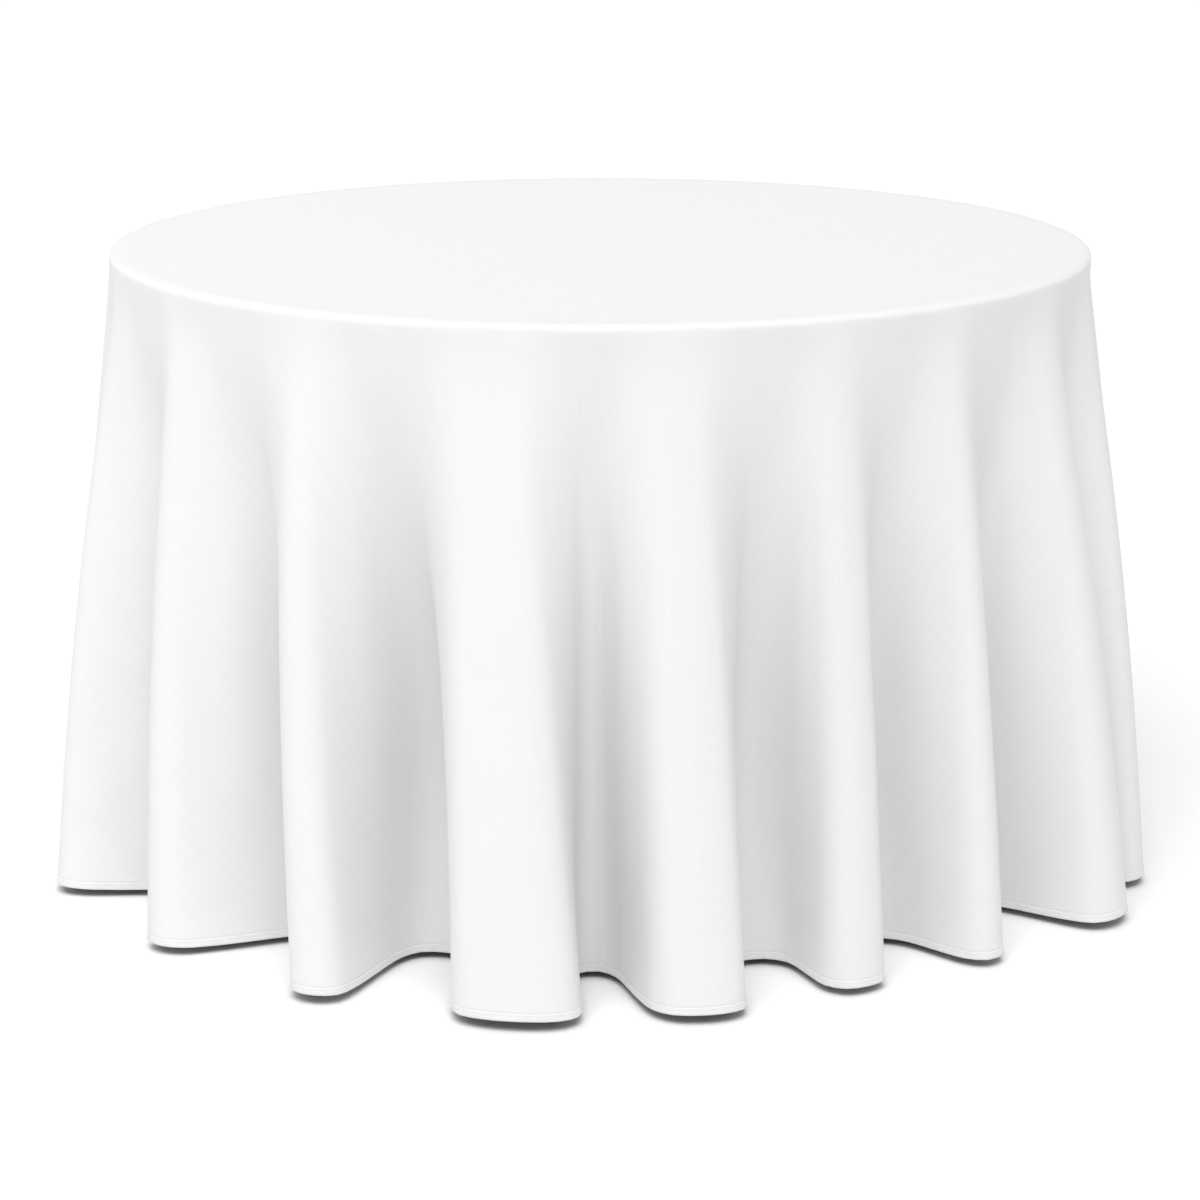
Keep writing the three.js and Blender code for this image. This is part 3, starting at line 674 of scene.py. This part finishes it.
def make_hem(rings, flat_edge):
    """The edge folded up and sewn: a band a little thicker than the cloth, round underneath."""
    edge, out, down = hem_lines(rings)
    # down the outer face, round the fold and up the inner face: distance out and distance down
    section = (
        (0.00045, -HEM_HEIGHT),
        (0.00085, -HEM_HEIGHT + 0.0010),
        (0.00070, -SEAM_HEIGHT),
        (0.00105, -0.0040),
        (0.00115, -0.0020),
        (0.00085, -0.0006),
        (0.0, 0.0),
        (-0.00085, -0.0006),
        (-0.00115, -0.0020),
        (-0.00105, -0.0040),
        (-0.00070, -SEAM_HEIGHT),
        (-0.00085, -HEM_HEIGHT + 0.0010),
        (-0.00045, -HEM_HEIGHT),
    )
    sections = [edge + away * out + drop * down for away, drop in section]
    corners = np.array(section)
    steps = np.linalg.norm(np.diff(corners, axis=0), axis=1)
    folded_out = np.concatenate([[0.0], np.cumsum(steps)]) - HEM_HEIGHT
    flat_sections = [flat_edge * (1.0 + further / CLOTH_RADIUS) for further in folded_out]
    hem = ring_of_sections("rolled_hem", sections, flat_sections)
    hem.data.materials.append(woven_cloth("folded hem", WHITE, HEM_SLUB, PUCKER_DEPTH))
    smooth(hem)
    return hem


def make_stitching(rings):
    """One row of lockstitches on each face of the hem."""
    edge, out, down = hem_lines(rings)
    tips = ((-0.5, 0.0), (-0.32, 1.0), (0.32, 1.0), (0.5, 0.0))  # along the stitch, thickness
    points = []
    faces = []
    pattern = stitch_faces()
    for side in (1.0, -1.0):
        line = edge - SEAM_HEIGHT * down + side * STITCH_PROUD * out
        closed = np.vstack([line, line[:1]])
        along = np.concatenate([[0.0], np.cumsum(np.linalg.norm(np.diff(closed, axis=0), axis=1))])
        count = round(along[-1] / STITCH_PITCH)
        middles = (np.arange(count) + 0.5) * along[-1] / count
        ahead = middles + 0.3 * STITCH_LENGTH
        place, front = (
            np.stack([np.interp(spots % along[-1], along, closed[:, axis]) for axis in range(3)], -1)
            for spots in (middles, ahead)
        )
        run = front - place
        run /= np.linalg.norm(run, axis=1, keepdims=True)
        normal = np.stack([np.interp(middles, along[:-1], out[:, axis]) for axis in range(3)], -1)
        normal *= side / np.linalg.norm(normal, axis=1, keepdims=True)
        across = np.cross(normal, run)
        base = len(points)
        stitch = []
        for share, thick in tips:
            for corner in range(STITCH_SIDES if thick else 1):
                turn = 2.0 * math.pi * corner / STITCH_SIDES
                sideways = STITCH_RADIUS * thick * math.cos(turn)
                upwards = STITCH_RADIUS * thick * math.sin(turn)
                stitch.append(place + share * STITCH_LENGTH * run + sideways * across + upwards * normal)
        stitch = np.stack(stitch, 1)
        size = stitch.shape[1]
        points += stitch.reshape(-1, 3).tolist()
        for k in range(count):
            faces += [tuple(base + k * size + corner for corner in face) for face in pattern]
    mesh = bpy.data.meshes.new("hem_stitching")
    mesh.from_pydata(points, [], faces)
    mesh.update()
    stitching = bpy.data.objects.new("hem_stitching", mesh)
    bpy.context.collection.objects.link(stitching)
    stitching.data.materials.append(sewing_thread())
    smooth(stitching)
    return stitching


def stitch_faces():
    """The faces of one stitch: a point, two rings and a point."""
    first = [1 + k for k in range(STITCH_SIDES)]
    second = [1 + STITCH_SIDES + k for k in range(STITCH_SIDES)]
    last = 1 + 2 * STITCH_SIDES
    faces = []
    for k in range(STITCH_SIDES):
        after = (k + 1) % STITCH_SIDES
        faces.append((0, first[after], first[k]))
        faces.append((first[k], first[after], second[after], second[k]))
        faces.append((second[k], second[after], last))
    return faces


# ---------------------------------------------------------------------------------------------
# Table
# ---------------------------------------------------------------------------------------------


def finish_nodes():
    """Gives every piece of the table its finish."""
    zinc_greys = ((0.48, 0.50, 0.52), (0.70, 0.71, 0.72))
    screw_greys = ((0.50, 0.50, 0.50), (0.75, 0.75, 0.75))
    paint_greys = ((0.10, 0.105, 0.11), (0.15, 0.155, 0.16))
    finishes = {
        "table_top": plywood_face(),
        "rail": pine_rail(),
        "edge_moulding": vinyl_edge(),
        "zinc": metal("zinc plate", *zinc_greys, 1.0, (0.28, 0.48), 600.0, 0.0001),
        "screw": metal("bright screw steel", *screw_greys, 1.0, (0.20, 0.36), 800.0, 0.0001),
        "foot": black_rubber(),
        "frame": metal("grey powder coat", *paint_greys, 0.0, (0.35, 0.50), 1500.0, 0.0003),
    }
    zinc = ("saddle_", "brace_bracket", "bracket_pin", "elbow_rivet")
    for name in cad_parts:
        if name.startswith("tablecloth"):
            continue
        if "screw" in name:
            finish = finishes["screw"]
        elif name.startswith(zinc):
            finish = finishes["zinc"]
        else:
            kinds = [kind for kind in ("table_top", "rail", "edge_moulding", "foot") if name.startswith(kind)]
            finish = finishes[kinds[0]] if kinds else finishes["frame"]
        for slot in bpy.data.objects[name].material_slots:
            slot.material = finish


cloth, cloth_rings, flat_edge = make_cloth()
hem = make_hem(cloth_rings, flat_edge)
stitching = make_stitching(cloth_rings)
for piece, node, slot in (
    (cloth, "tablecloth", "cloth"),
    (hem, "tablecloth_hem", "hem"),
    (stitching, "tablecloth_hem", "hem"),
):
    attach(piece, "cloth")
    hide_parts(node)
finish_nodes()

add_camera()
add_studio()
